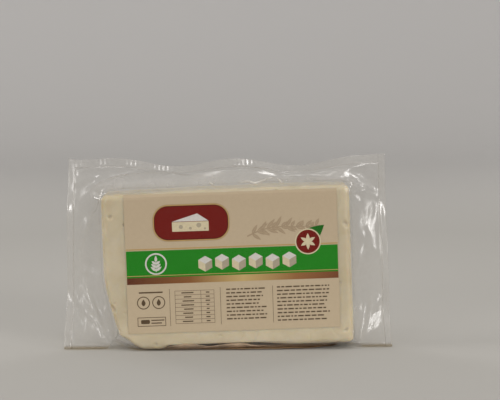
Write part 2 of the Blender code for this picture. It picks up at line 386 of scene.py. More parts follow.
def ink_finish(name, colour, roughness=0.42, grain=0.06):
    """A flat printed colour with the faint unevenness of ink on paper."""
    finish, nodes, links, surface = new_finish(name)
    mottle = spotted(nodes, links, 900, 4)
    shades = nodes.new("ShaderNodeValToRGB")
    for stop, share in zip(shades.color_ramp.elements, (1 - grain, 1 + grain)):
        stop.color = [part * share * INK_DEPTH for part in colour] + [1]
    shades.color_ramp.elements[0].position = 0.3
    shades.color_ramp.elements[1].position = 0.7
    links.new(mottle.outputs["Fac"], shades.inputs["Fac"])
    links.new(shades.outputs["Color"], surface.inputs["Base Color"])
    surface.inputs["Roughness"].default_value = roughness
    surface.inputs["Specular IOR Level"].default_value = 0.12
    return finish


def rolled(point):
    """How far the block's front has turned back at a point near its upper edge."""
    over = point.z - slump(point).z - BLOCK_HEIGHT / 2 + BLOCK_EDGE
    over = min(max(over, 0), BLOCK_EDGE)
    return BLOCK_EDGE - math.sqrt(BLOCK_EDGE**2 - over**2)


def on_label(bm, face_y):
    """Moves a flat shape, drawn in metres from the label's middle, to its place on the block."""
    for vert in bm.verts:
        u, v, proud = vert.co
        spot = Vector((LABEL_RIGHT + u, face_y - proud, LABEL_UP + v))
        spot.y += rolled(spot)
        vert.co = BLOCK_PLACE @ spot


def printed(name, outlines, layer, finish):
    """One printing of one ink: closed outlines in label millimetres, each a thin closed film of ink."""
    bm = bmesh.new()
    for number, outline in enumerate(outlines):
        sunk = bm.faces.new([bm.verts.new((u * MM, v * MM, -INK_SINK)) for u, v in outline])
        top = bmesh.ops.extrude_face_region(bm, geom=[sunk], use_keep_orig=True)
        raised = [found for found in top["geom"] if isinstance(found, bmesh.types.BMVert)]
        height = layer * INK_THICKNESS + number % 40 * INK_STEP
        bmesh.ops.translate(bm, verts=raised, vec=(0, 0, INK_SINK + height))
    on_label(bm, LABEL_FACE)
    bmesh.ops.recalc_face_normals(bm, faces=bm.faces)
    ink = show(name, bm, finish, smooth=False)
    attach(ink, "root")
    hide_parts("printed_label")
    return ink


def box_outline(u, v, width, height, corner=0.0, steps=5):
    """A rectangle about (u, v), with rounded corners if corner is given."""
    if not corner:
        return [(u + a * width / 2, v + b * height / 2) for a, b in ((-1, -1), (1, -1), (1, 1), (-1, 1))]
    outline = []
    for quarter, (a, b) in enumerate(((1, 1), (-1, 1), (-1, -1), (1, -1))):
        middle = (u + a * (width / 2 - corner), v + b * (height / 2 - corner))
        for step in range(steps + 1):
            turn = math.pi / 2 * (quarter + step / steps)
            outline.append((middle[0] + corner * math.cos(turn), middle[1] + corner * math.sin(turn)))
    return outline


def disc_outline(u, v, radius, steps=40):
    turns = [2 * math.pi * step / steps for step in range(steps)]
    return [(u + radius * math.cos(turn), v + radius * math.sin(turn)) for turn in turns]


def stroke(points, widths):
    """A drawn line through points, as wide at each one as widths says."""
    left, right = [], []
    for i, (u, v) in enumerate(points):
        before, after = points[max(i - 1, 0)], points[min(i + 1, len(points) - 1)]
        du, dv = after[0] - before[0], after[1] - before[1]
        size = math.hypot(du, dv) or 1
        half = widths[i] / 2
        left.append((u - dv / size * half, v + du / size * half))
        right.append((u + dv / size * half, v - du / size * half))
    return right + left[::-1]


def leaf_outline(u, v, length, width, heading, steps=7):
    """A pointed leaf that grows from (u, v) in the direction heading, in degrees."""
    forward = math.cos(math.radians(heading))
    upward = math.sin(math.radians(heading))
    along_leaf = [step / steps for step in range(steps + 1)]
    edge = [(length * t, width / 2 * math.sin(math.pi * t**0.8)) for t in along_leaf]
    edge += [(a, -b) for a, b in edge[-2:0:-1]]
    return [(u + a * forward - b * upward, v + a * upward + b * forward) for a, b in edge]


def frame_outlines(u, v, width, height, line):
    """The four bars of an empty ruled box."""
    return [
        box_outline(u, v + height / 2, width + line, line),
        box_outline(u, v - height / 2, width + line, line),
        box_outline(u - width / 2, v, line, height - line),
        box_outline(u + width / 2, v, line, height - line),
    ]


# The sheet itself, warm beige, with painted light: lighter towards its foot, standing in for light bounced up
# from the floor
label_paper, nodes, links, label_surface = new_finish("label_paper")
painted_foot_light_share = graded(nodes, links, "Z", 10 * MM, 100 * MM)
tint = nodes.new("ShaderNodeValToRGB")
tint.color_ramp.elements[0].color = (0.512, 0.418, 0.292, 1)
tint.color_ramp.elements[1].color = (0.452, 0.364, 0.255, 1)
links.new(painted_foot_light_share.outputs["Result"], tint.inputs["Fac"])
fibre = spotted(nodes, links, 450, 6)
shade = nodes.new("ShaderNodeMapRange")
shade.inputs["To Min"].default_value = 0.95
shade.inputs["To Max"].default_value = 1.04
links.new(fibre.outputs["Fac"], shade.inputs["Value"])
blend = nodes.new("ShaderNodeVectorMath")
blend.operation = "SCALE"
links.new(tint.outputs["Color"], blend.inputs[0])
links.new(shade.outputs["Result"], blend.inputs["Scale"])
links.new(blend.outputs["Vector"], label_surface.inputs["Base Color"])
label_surface.inputs["Roughness"].default_value = 0.5
label_surface.inputs["Specular IOR Level"].default_value = 0.2

bm = bmesh.new()
bmesh.ops.create_grid(
    bm, x_segments=round(LABEL_WIDTH / LABEL_CELL), y_segments=round(LABEL_HEIGHT / LABEL_CELL), size=1
)
bmesh.ops.scale(bm, vec=(LABEL_WIDTH / 2, LABEL_HEIGHT / 2, 1), verts=bm.verts)
top = bmesh.ops.extrude_face_region(bm, geom=bm.faces[:], use_keep_orig=True)
lower = [found for found in top["geom"] if isinstance(found, bmesh.types.BMVert)]
bmesh.ops.translate(bm, verts=lower, vec=(0, 0, -LABEL_THICKNESS))
on_label(bm, LABEL_FACE)
bmesh.ops.recalc_face_normals(bm, faces=bm.faces)
label_sheet = show("label_sheet", bm, label_paper, smooth=False)
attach(label_sheet, "root")
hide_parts("printed_label")

green_ink = ink_finish("green_ink", (0.016, 0.275, 0.012))
dark_green_ink = ink_finish("dark_green_ink", (0.010, 0.16, 0.008))
gold_ink = ink_finish("gold_ink", (0.60, 0.40, 0.15), roughness=0.3)
red_ink = ink_finish("red_ink", (0.20, 0.009, 0.005))
deep_red_ink = ink_finish("deep_red_ink", (0.11, 0.006, 0.005))
white_ink = ink_finish("white_ink", (0.80, 0.78, 0.74))
cream_ink = ink_finish("cream_ink", (0.80, 0.70, 0.48))
shade_ink = ink_finish("cream_shade_ink", (0.50, 0.44, 0.33))
sepia_ink = ink_finish("sepia_ink", (0.47, 0.36, 0.24))
brown_ink = ink_finish("brown_ink", (0.13, 0.085, 0.048))

# A straight green band over the full width, edged in gold, and a bar under it that runs from brown to gold
BAND_WIDTH = 133.2
BAND_LOW = -8.5
BAND_HIGH = 8.5
BRONZE_HEIGHT = 4.2
BRONZE_STOPS = {
    0.30: (0.22, 0.09, 0.026, 1),
    0.55: (0.50, 0.365, 0.15, 1),
    0.80: (0.27, 0.12, 0.04, 1),
}
band = box_outline(0, (BAND_LOW + BAND_HIGH) / 2, BAND_WIDTH, BAND_HIGH - BAND_LOW)
printed("green_band", [band], 1, green_ink)
upper_line = box_outline(0, BAND_HIGH + 0.9, BAND_WIDTH, 0.7)
lower_line = box_outline(0, BAND_LOW + 1.1, BAND_WIDTH, 0.45)
printed("band_lines", [upper_line, lower_line], 2, gold_ink)

bronze_ink, nodes, links, bronze_surface = new_finish("bronze_ink")
width_share = graded(nodes, links, "X", -64 * MM, 70 * MM)
bronze = nodes.new("ShaderNodeValToRGB")
bronze.color_ramp.elements[0].color = (0.095, 0.022, 0.007, 1)
bronze.color_ramp.elements[1].color = (0.16, 0.050, 0.018, 1)
for position, colour in BRONZE_STOPS.items():
    bronze.color_ramp.elements.new(position).color = colour
links.new(width_share.outputs["Result"], bronze.inputs["Fac"])
links.new(bronze.outputs["Color"], bronze_surface.inputs["Base Color"])
bronze_surface.inputs["Roughness"].default_value = 0.38
bronze_surface.inputs["Specular IOR Level"].default_value = 0.25
bar = box_outline(0, BAND_LOW - BRONZE_HEIGHT / 2, BAND_WIDTH, BRONZE_HEIGHT)
printed("bronze_bar", [bar], 1, bronze_ink)

# Cubes of white cheese in a row along the band, each drawn from its corner as three diamonds
CUBE = 5.0
tops, lefts, rights = [], [], []
side = CUBE * math.cos(math.radians(30))
for step in range(6):
    u, v = -17 + 10.6 * step, -0.9 + 0.9 * (step % 2)
    tops.append([(u, v), (u + side, v + CUBE / 2), (u, v + CUBE), (u - side, v + CUBE / 2)])
    lefts.append([(u, v), (u - side, v + CUBE / 2), (u - side, v - CUBE / 2), (u, v - CUBE)])
    rights.append([(u, v), (u, v - CUBE), (u + side, v - CUBE / 2), (u + side, v + CUBE / 2)])
printed("cube_tops", tops, 2, white_ink)
printed("cube_lefts", lefts, 2, cream_ink)
printed("cube_rights", rights, 2, shade_ink)

# A ring with a sprig in it at the band's left end
printed("band_ring", [disc_outline(-48, 0, 6.9)], 2, white_ink)
printed("band_ring_inside", [disc_outline(-48, 0, 5.9)], 3, green_ink)
sprig = []
for pair in range(3):
    for turn in (52, -52):
        sprig.append(leaf_outline(-48, -4.4 + 2.1 * pair, 4.4 - 0.5 * pair, 1.7, 90 + turn))
sprig += [leaf_outline(-48, 1.2, 4.2, 1.7, 90), stroke([(-48, -5), (-48, 1.5)], [0.6, 0.4])]
printed("band_sprig", sprig, 4, white_ink)

# A red plaque with a gold rim, and a wedge of cheese on it
PLAQUE = (-25.0, 25.5)
for name, grow, layer, finish in (
    ("plaque_shadow", 2.6, 1, sepia_ink),
    ("plaque_rim", 2.0, 2, gold_ink),
    ("plaque_edge", 0.6, 3, deep_red_ink),
    ("plaque_face", -0.6, 4, red_ink),
):
    printed(name, [box_outline(*PLAQUE, 46 + grow, 21 + grow, 8.5 + grow / 2, 8)], layer, finish)
u, v = PLAQUE
side = [(u - 12, v - 5.5), (u + 11, v - 5.5), (u + 11, v + 0.5), (u - 12, v + 0.5)]
printed("wedge_side", [side], 5, cream_ink)
printed("wedge_top", [[(u - 12, v + 0.8), (u + 11, v + 0.8), (u + 4, v + 5.6)]], 5, white_ink)
holes = ((-6.5, -2.6, 1.3), (-0.5, -3.6, 0.9), (4.8, -1.8, 1.5), (8.6, -4.0, 0.7))
printed("wedge_holes", [disc_outline(u + a, v + b, r, 20) for a, b, r in holes], 6, shade_ink)

# An olive branch drawn in thin sepia lines
branch = [(10 + 46 * t, 15.5 + 15 * t - 9 * t * t + 1.2 * math.sin(6 * t)) for t in np.linspace(0, 1, 16)]
drawing = [stroke(branch, list(np.linspace(0.9, 0.35, 16)))]
veins = []
for i in range(1, 15):
    u, v = branch[i]
    swing = 38 + 14 * math.sin(2.4 * i)
    size = 8.2 - 0.28 * i + 1.1 * math.cos(3.1 * i)
    for side in (1, -1):
        heading = 12 + side * swing
        drawing.append(leaf_outline(u, v, size, 2.1, heading))
        du, dv = math.cos(math.radians(heading)), math.sin(math.radians(heading))
        start = (u + 1.2 * du, v + 1.2 * dv)
        tip = (u + size * 0.8 * du, v + size * 0.8 * dv)
        veins.append(stroke([start, tip], [0.45, 0.25]))
printed("branch_leaves", drawing, 1, sepia_ink)
printed("branch_veins", veins, 2, ink_finish("pale_vein_ink", (0.56, 0.44, 0.30)))

# A round red seal over a green leaf, where the band's upper edge ends
printed("seal_leaf", [leaf_outline(43.5, 9.5, 19, 9.5, 38)], 3, dark_green_ink)
printed("seal_rim", [disc_outline(48, 11, 8.2)], 4, cream_ink)
printed("seal_face", [disc_outline(48, 11, 7.4)], 5, red_ink)
petals = [leaf_outline(48, 11, 5.2, 2.2, 60 * step + 30) for step in range(6)]
printed("seal_petals", petals, 6, cream_ink)

# Small print: bars in place of words, an empty ruled table and plain rings
draw = np.random.default_rng(11)
bars = []
columns = ((-4.5, 22.0, -17.6, 9, 0.25), (27.5, 61.5, -17.2, 10, 0.12))
for left, right, top_line, lines, ragged in columns:
    for line in range(lines):
        u = left
        v = top_line - 2.35 * line
        end = right - (right - left) * ragged * draw.random()
        while u < end - 0.8:
            word = min(draw.uniform(1.1, 4.2), end - u)
            bars.append(box_outline(u + word / 2, v, word, 0.85))
            u += word + 0.75
ROW_PITCH = 2.6
for row in range(8):
    v = -18.9 - ROW_PITCH * row
    bars.append(box_outline(-29.0 + draw.uniform(-0.8, 0.8), v, draw.uniform(4.5, 8.5), 0.75))
    bars.append(box_outline(-16.2, v, draw.uniform(1.6, 3.2), 0.75))
printed("small_print", bars, 1, brown_ink)
rules = [box_outline(-24.5, -17.6 - ROW_PITCH * row, 24.5, 0.22) for row in range(9)]
rules += [box_outline(u, -28, 0.22, 21) for u in (-36.8, -20.5, -12.2)]
rules += [box_outline(u, -28, 0.25, 23.5) for u in (-40.2, -8.2, 24.8)]
rules += frame_outlines(-52.0, -36.6, 17.5, 5.4, 0.4)
printed("table_rules", rules, 1, brown_ink)
rings = [(-56.8, -24.5), (-47.2, -24.5)]
printed("rings", [disc_outline(u, v, 4.1) for u, v in rings], 1, brown_ink)
printed("ring_insides", [disc_outline(u, v, 3.5) for u, v in rings], 2, label_paper)
drops = [leaf_outline(u, v - 2.1, 4.4, 2.6, 90) for u, v in rings] + [box_outline(-56, -36.6, 5.6, 2.6, 0.8)]
printed("ring_drops", drops, 3, brown_ink)
bars = ((-48.2, -35.7, 8.2, 0.7), (-49.0, -37.5, 6.6, 0.7), (-52, -18.0, 15, 0.9))
printed("box_bars", [box_outline(*bar) for bar in bars], 2, brown_ink)

# Film
# Two sheets of clear film, drawn tight on the block and on each other by the vacuum, and folded under it
# below. The slack film is pressed on its formers by a cloth simulation, ten times full size.
POUCH_WIDTH_LOW = 209 * MM
POUCH_WIDTH_TOP = 202 * MM
POUCH_HEIGHT = 118.5 * MM
TOP_WAVE = 2.4 * MM
TOP_WAVE_LENGTH = 75 * MM
TOP_WAVE_CREST = 5 * MM
WAVE_REACH = 15 * MM
CORNER_LIFT = 5.0 * MM
SWAY = 3.6 * MM
SWAY_REACH = 20 * MM
SIDE_SWAY_LENGTH = 88 * MM
FOLD_RADIUS = 1.2 * MM
FOLDED_STRIP = 12 * MM
FOLD_FORWARD = 10 * MM
FOLD_RISE = 30 * MM
FOLD_REACH = 8 * MM
LOWER_START = 12 * MM
LOWER_RUN = 26 * MM
STRIP_LOW = 0.35 * MM
SHEET_GAP = 0.2 * MM
CLEAR = 0.7 * MM
DRAPE_START = 0.6 * MM
DRAPE_REACH = 7 * MM
SIDE_WELD = 4.3 * MM
TOP_WELD = 5.0 * MM
WELD_LAP = 0.5 * MM
FILM_COLUMNS = 120
FILM_ROWS = 92
FILM_SPARE = -0.08
FORMER_SKIN = 0.004
SIM_SCALE = 10
SIM_FRAMES = 30
BLOCK_SKIN_CELL = 2.5 * MM
OFF_BLOCK = 0.3 * MM
# The film just above the block is made hazier and glossier: partly milky pinched film, partly painted sheen
# standing in for light reflected off its upward-facing tent
PUCKER_LOW = 96 * MM
PUCKER_HIGH = 103 * MM
PUCKER_HAZE_AND_SHEEN = 1.6
HAZE_COLOUR = (0.605, 0.592, 0.57, 1)
# The brown that the painted contact shade takes along the film's fold on the ground
FOLD_SHADE_TINT = (0.86, 0.80, 0.68, 1)


def half_width(height):
    share = min(max(height / POUCH_HEIGHT, 0), 1)
    return (POUCH_WIDTH_LOW * (1 - share) + POUCH_WIDTH_TOP * share) / 2


def top_height(across):
    """Height of the margin's top edge; across runs from -1 at the left corner to 1 at the right one."""
    x = across * POUCH_WIDTH_TOP / 2
    wave = math.cos(2 * math.pi * (x - TOP_WAVE_CREST) / TOP_WAVE_LENGTH)
    return POUCH_HEIGHT + TOP_WAVE * wave + CORNER_LIFT * across**6


def outside(x, z):
    """How far a point of the margin is outside the block, seen from the front."""
    local = BLOCK_UNPLACE @ Vector((x, 0, z))
    local -= slump(local)
    over_x = max(abs(local.x) - BLOCK_WIDTH / 2 + BLOCK_EDGE, 0)
    over_z = max(abs(local.z) - BLOCK_HEIGHT / 2 + BLOCK_EDGE, 0)
    return max(math.hypot(over_x, over_z) - BLOCK_EDGE, 0)


def sway(x, z):
    """How far the margin swings forward or back from mid depth; at its foot it comes forward."""
    loose = ramp(outside(x, z), 0, SWAY_REACH)
    forward = FOLD_FORWARD * ramp(outside(x, z), 0, FOLD_REACH) * (1 - ramp(z, 0, FOLD_RISE))
    over_top = ramp(z, BLOCK_CENTRE.z, BLOCK_CENTRE.z + BLOCK_HEIGHT / 2)
    beside = ramp(abs(x), BLOCK_WIDTH * 0.4, BLOCK_WIDTH * 0.5)
    grounded = ramp(z, 0, 13 * MM)
    along_top = math.sin(2 * math.pi * (x - TOP_WAVE_CREST) / TOP_WAVE_LENGTH)
    up_side = math.sin(2 * math.pi * z / SIDE_SWAY_LENGTH + math.copysign(0.9, x))
    return SWAY * loose * grounded * (over_top * along_top + 0.8 * beside * up_side) - forward


def crowded(count, low, high, spots, crowding, spread):
    """Even steps from low to high, closer together near the spots."""
    fine = np.linspace(low, high, 2000)
    density = 1 + sum(crowding * np.exp(-(((fine - spot) / spread) ** 2)) for spot in spots)
    gone = np.concatenate(([0], np.cumsum((density[1:] + density[:-1]) / 2)))
    return np.interp(np.linspace(0, gone[-1], count), gone, fine)


def along(path, share):
    """The point a share of the way along a path of points in the y-z plane."""
    path = np.array(path)
    gone = np.concatenate(([0], np.cumsum(np.hypot(*np.diff(path, axis=0).T))))
    return np.array([np.interp(share * gone[-1], gone, path[:, axis]) for axis in (0, 1)])


def arc(middle_y, middle_z, radius, start, end, steps=6):
    turns = np.radians(np.linspace(start, end, steps))
    return [(middle_y + radius * math.cos(t), middle_z + radius * math.sin(t)) for t in turns]


def film_point(across, height, face, gap=SHEET_GAP):
    """A point of the slack film at a height up the flat bag. face is -1 in front and 1 behind."""
    if height >= LOWER_START:
        lift = (top_height(across) - POUCH_HEIGHT) * ramp(height, POUCH_HEIGHT - WAVE_REACH, POUCH_HEIGHT)
        z = height + lift
        x = across * half_width(z)
        d = outside(x, z)
        stand_off = (BLOCK_DEPTH / 2 + CLEAR) * (1 - ramp(d, DRAPE_START, DRAPE_REACH))
        stand_off += gap * ramp(d, 0, DRAPE_REACH)
        return Vector((x, sway(x, z) + face * stand_off, z))
    lower = (LOWER_START - height) / (LOWER_START + LOWER_RUN)
    x = across * half_width(0)
    middle = sway(x, LOWER_START)
    ground = sway(x, 0)
    r = FOLD_RADIUS
    beside = [(middle + gap * face, LOWER_START), (ground + gap * face, r + STRIP_LOW)]
    beside += arc(ground + r, r + STRIP_LOW, r - gap * face, 180, 270)[1:]
    beside += [(ground + r + FOLDED_STRIP, STRIP_LOW + gap * face)]
    low = block_low(x)
    reach = BLOCK_DEPTH / 2 + CLEAR
    e = BLOCK_EDGE + 0.4 * MM
    if face < 0:
        under = [(-reach, LOWER_START)] + arc(e - reach, low - 0.4 * MM + e, e, 180, 270)
        under += [(0.0, low - 0.5 * MM), (2 * MM, STRIP_LOW)]
    else:
        under = [(reach, LOWER_START)] + arc(reach - e, low - 0.4 * MM + e, e, 0, -90)
        under += [(4 * MM, low - 0.4 * MM), (3 * MM, STRIP_LOW + 0.5 * MM)]
    under += [(ground + r + FOLDED_STRIP, STRIP_LOW + gap * face)]
    share = 1 - ramp(outside(x, LOWER_START), DRAPE_START, DRAPE_REACH)
    y, z = along(beside, lower) * (1 - share) + along(under, lower) * share
    return Vector((x, y, z))


def double_sheet(columns, heights, gap=SHEET_GAP):
    """Front and back sheet of a piece of the bag as one closed shell, on the given lines of the flat bag."""
    bm = bmesh.new()
    wide, tall = len(columns) - 1, len(heights) - 1
    bmesh.ops.create_grid(bm, x_segments=wide, y_segments=tall, size=1)
    front = list(bm.verts)
    thick = bmesh.ops.extrude_face_region(bm, geom=bm.faces[:], use_keep_orig=True)
    backs = {found for found in thick["geom"] if isinstance(found, bmesh.types.BMVert)}
    spots = []
    for vert in bm.verts:
        across = columns[round((vert.co.x + 1) / 2 * wide)]
        height = heights[round((vert.co.y + 1) / 2 * tall)]
        face = 1 if vert in backs else -1
        spots.append((across, height, face))
    for vert, (across, height, face) in zip(bm.verts, spots):
        vert.co = film_point(across, height, face, gap)
    bmesh.ops.recalc_face_normals(bm, faces=bm.faces)
    return bm, spots


def mixed(nodes, links, share, first, second):
    """One shader where share is 0 and another where it is 1, or both alike if there is no share."""
    mix = nodes.new("ShaderNodeMixShader")
    if share:
        links.new(share, mix.inputs[0])
    links.new(first.outputs[0], mix.inputs[1])
    links.new(second.outputs[0], mix.inputs[2])
    return mix


def film_finish(name, haze, shine, roughness, colour=HAZE_COLOUR):
    """Clear film: it mirrors at a slant, scatters a little light where it lies loose (attribute slack), and
    lets through less and browner light low along its front fold on the ground (the fold attribute): painted
    contact shade there, with the film's layers seen edge on."""
    finish, nodes, links, surface = new_finish(name)
    nodes.remove(surface)
    slack = nodes.new("ShaderNodeAttribute")
    slack.attribute_name = "slack"
    fold_shade = nodes.new("ShaderNodeAttribute")
    fold_shade.attribute_name = "fold_shade"
    fold_shade_mix = nodes.new("ShaderNodeMix")
    fold_shade_mix.data_type = "RGBA"
    fold_shade_mix.inputs["A"].default_value = (0.98, 0.975, 0.965, 1)
    fold_shade_mix.inputs["B"].default_value = FOLD_SHADE_TINT
    links.new(fold_shade.outputs["Fac"], fold_shade_mix.inputs["Factor"])
    clear = nodes.new("ShaderNodeBsdfTransparent")
    links.new(fold_shade_mix.outputs["Result"], clear.inputs["Color"])
    front_haze = nodes.new("ShaderNodeBsdfDiffuse")
    front_haze.inputs["Color"].default_value = colour
    through_haze = nodes.new("ShaderNodeBsdfTranslucent")
    through_haze.inputs["Color"].default_value = colour
    cloud = mixed(nodes, links, None, front_haze, through_haze)
    patches = spotted(nodes, links, 70, 5)
    amount = nodes.new("ShaderNodeMapRange")
    amount.inputs["From Min"].default_value = 0.3
    amount.inputs["From Max"].default_value = 0.75
    amount.inputs["To Min"].default_value = haze * 0.6
    amount.inputs["To Max"].default_value = haze * 1.5
    links.new(patches.outputs["Fac"], amount.inputs["Value"])
    hazy = nodes.new("ShaderNodeMath")
    hazy.operation = "MULTIPLY"
    links.new(slack.outputs["Fac"], hazy.inputs[0])
    links.new(amount.outputs["Result"], hazy.inputs[1])
    body = mixed(nodes, links, hazy.outputs[0], clear, cloud)
    gloss = nodes.new("ShaderNodeBsdfGlossy")
    gloss.inputs["Roughness"].default_value = roughness
    slant = nodes.new("ShaderNodeLayerWeight")
    slant.inputs["Blend"].default_value = 0.5
    steep = nodes.new("ShaderNodeMath")
    steep.operation = "POWER"
    steep.inputs[1].default_value = 4
    links.new(slant.outputs["Facing"], steep.inputs[0])
    mirror = nodes.new("ShaderNodeMapRange")
    mirror.inputs["To Max"].default_value = 0.5
    links.new(steep.outputs[0], mirror.inputs["Value"])
    least = nodes.new("ShaderNodeMapRange")
    least.inputs["To Min"].default_value = shine * 0.5
    least.inputs["To Max"].default_value = shine
    least.clamp = False
    links.new(slack.outputs["Fac"], least.inputs["Value"])
    links.new(least.outputs["Result"], mirror.inputs["To Min"])
    mix = mixed(nodes, links, mirror.outputs["Result"], body, gloss)
    links.new(mix.outputs[0], nodes["Material Output"].inputs["Surface"])
    return finish


def mark_slack(sheet, spots):
    """Notes at each point how loose the film is there, 0 where it is drawn on the cheese, 1 in the margin and
    more where it is puckered above the block, partly painted sheen there, and how much painted contact shade
    darkens it low along its front fold on the ground."""
    slack = []
    for across, height, face in spots:
        d = outside(across * half_width(height), max(height, LOWER_START))
        below = 0.9 * ramp(-height, -13 * MM, -3 * MM)
        # Puckered film above the block: hazier, partly painted sheen
        puckered = ramp(height, PUCKER_LOW, PUCKER_HIGH) * ramp(d, 0.2 * MM, 1.5 * MM)
        puckered *= 1 - ramp(d, 4 * MM, 8 * MM)
        slack.append(max(ramp(d, 0, 4 * MM), below) + PUCKER_HAZE_AND_SHEEN * puckered)
    note(sheet, "slack", slack)
    # Painted shade: darkening low along the film's front fold on the ground, standing in for the contact
    # shadow there
    fold_shade = []
    for vert in sheet.data.vertices:
        x, y, z = vert.co
        fold_shade.append((1 - ramp(z, 1.2 * MM, 2.6 * MM)) * (1 - ramp(y - sway(x, 0), 2 * MM, 4 * MM)))
    note(sheet, "fold_shade", fold_shade)


def press_on(sheet, formers, pinned, spare, frames):
    """Draws the slack film onto its formers, and leaves the result in its mesh."""
    scene = bpy.context.scene
    grown = Matrix.Scale(SIM_SCALE, 4)
    for one in [sheet] + formers:
        one.data.transform(grown)
    for former in formers:
        former.modifiers.new("former", "COLLISION")
        former.collision.thickness_outer = FORMER_SKIN
        former.collision.thickness_inner = 0.1
        former.collision.cloth_friction = 2
        former.collision.damping = 0.5
    for name, weights in (("pinned", pinned), ("spare", spare)):
        group = sheet.vertex_groups.new(name=name)
        for i, weight in enumerate(weights):
            group.add([i], weight, "REPLACE")
    cloth = sheet.modifiers.new("vacuum", "CLOTH")
    rule = cloth.settings
    rule.quality = 8
    rule.mass = 0.3
    rule.tension_stiffness = rule.compression_stiffness = 80
    rule.shear_stiffness = 40
    rule.bending_model = "ANGULAR"
    rule.bending_stiffness = 3
    rule.tension_damping = rule.compression_damping = rule.shear_damping = 5
    rule.use_pressure = True
    rule.uniform_pressure_force = -8
    rule.effector_weights.gravity = 0
    rule.vertex_group_mass = "pinned"
    rule.vertex_group_shrink = "spare"
    rule.shrink_min = 0
    rule.shrink_max = FILM_SPARE
    cloth.collision_settings.collision_quality = 3
    cloth.collision_settings.distance_min = FORMER_SKIN
    cloth.collision_settings.use_self_collision = False
    cloth.point_cache.frame_start = scene.frame_start = 1
    cloth.point_cache.frame_end = scene.frame_end = frames
    for number in range(1, frames + 1):
        scene.frame_set(number)
    pressed = bpy.data.meshes.new_from_object(sheet.evaluated_get(bpy.context.evaluated_depsgraph_get()))
    sheet.modifiers.clear()
    sheet.vertex_groups.clear()
    sheet.data = pressed
    pressed.transform(Matrix.Scale(1 / SIM_SCALE, 4))
    for former in formers:
        bpy.data.objects.remove(former)


film_skin = film_finish("clear_film", haze=0.12, shine=0.036, roughness=0.2)
inner = 1 - (SIDE_WELD - WELD_LAP) / (POUCH_WIDTH_TOP / 2)
film_columns = crowded(FILM_COLUMNS + 1, -inner, inner, (-0.775, 0.775), 0.9, 0.05)
film_top = POUCH_HEIGHT - TOP_WELD + WELD_LAP
film_bends = (LOWER_START - 5 * MM, 103 * MM, 107 * MM)
film_heights = crowded(FILM_ROWS + 1, -LOWER_RUN, film_top, film_bends, 0.9, 6 * MM)
bm, spots = double_sheet(film_columns, film_heights)
bag = show("film", bm, film_skin)
pinned = []
spare = []
for across, height, face in spots:
    edge = min((inner - abs(across)) * POUCH_WIDTH_TOP / 2, film_top - height)
    lower = (LOWER_START - height) / (LOWER_START + LOWER_RUN)
    pinned.append(1.0 if edge < MM or lower > 0.5 else 0.0)
    d = outside(across * half_width(height), max(height, LOWER_START))
    spare.append(min(1, 0.12 + 0.7 * bump(d, 4 * MM, 8 * MM)))
block_former = show("block_former", block_form(0, 5 * MM), paint)
bm = bmesh.new()
bmesh.ops.create_grid(bm, x_segments=60, y_segments=40, size=1)
for vert in bm.verts:
    across, up = vert.co.xy
    z = (up + 1) / 2 * (POUCH_HEIGHT + 12 * MM)
    x = across * (half_width(0) + 4 * MM)
    vert.co = Vector((x, sway(x, z), z))
middle_former = show("middle_former", bm, paint)
press_on(bag, [block_former, middle_former], pinned, spare, SIM_FRAMES)

# Creases in the margin: each a line of points (x, z) in millimetres, how far it stands out and its half width
CREASES = (
    (((92, 119), (82, 115), (70, 110.5)), 1.3, 2.4),
    (((-95, 106), (-85, 109), (-78, 106)), 1.2, 2.2),
    (((-92, 50), (-84, 47), (-79, 44)), 1.2, 2.0),
    (((-91, 52.5), (-80, 51)), -0.9, 1.7),
    (((-91, 25), (-81, 15), (-75, 5)), 1.6, 2.3),
    (((84, 18), (80, 10)), 1.1, 1.8),
    (((-70, 106.5), (-48, 110), (-22, 108.5)), 1.1, 2.8),
    (((96, 96), (88, 100), (80, 96)), 1.0, 2.2),
    (((84, 93), (87, 82), (85, 70)), 1.0, 2.0),
    (((93, 88), (90, 76), (93, 62)), 0.9, 1.9),
    (((88, 60), (85, 50), (89, 38)), 0.8, 1.9),
)


def off_line(u, v, line):
    """Distance of the point (u, v) from a line of points."""
    least = math.inf
    for (u0, v0), (u1, v1) in zip(line, line[1:]):
        run_u, run_v = u1 - u0, v1 - v0
        share = ((u - u0) * run_u + (v - v0) * run_v) / (run_u**2 + run_v**2)
        share = min(max(share, 0), 1)
        least = min(least, math.hypot(u - u0 - share * run_u, v - v0 - share * run_v))
    return least


# The film is kept just off the block and the ground, and then creased
block_skin = BVHTree.FromBMesh(block_form(0, BLOCK_SKIN_CELL))
for vert, spot in zip(bag.data.vertices, spots):
    place, outward, i, gap = block_skin.find_nearest(vert.co)
    if (vert.co - place).dot(outward) < OFF_BLOCK:
        vert.co = place + outward * OFF_BLOCK
    vert.co.z = max(vert.co.z, STRIP_LOW + SHEET_GAP * spot[2])
    x, y, z = vert.co / MM
    for line, height, spread in CREASES:
        vert.co.y -= height * MM * bump(off_line(x, z, line), 0, spread)

mark_slack(bag, spots)
smooth = bag.modifiers.new("smooth", "SUBSURF")
smooth.levels = smooth.render_levels = 1
bag.data.polygons.foreach_set("use_smooth", [True] * len(bag.data.polygons))

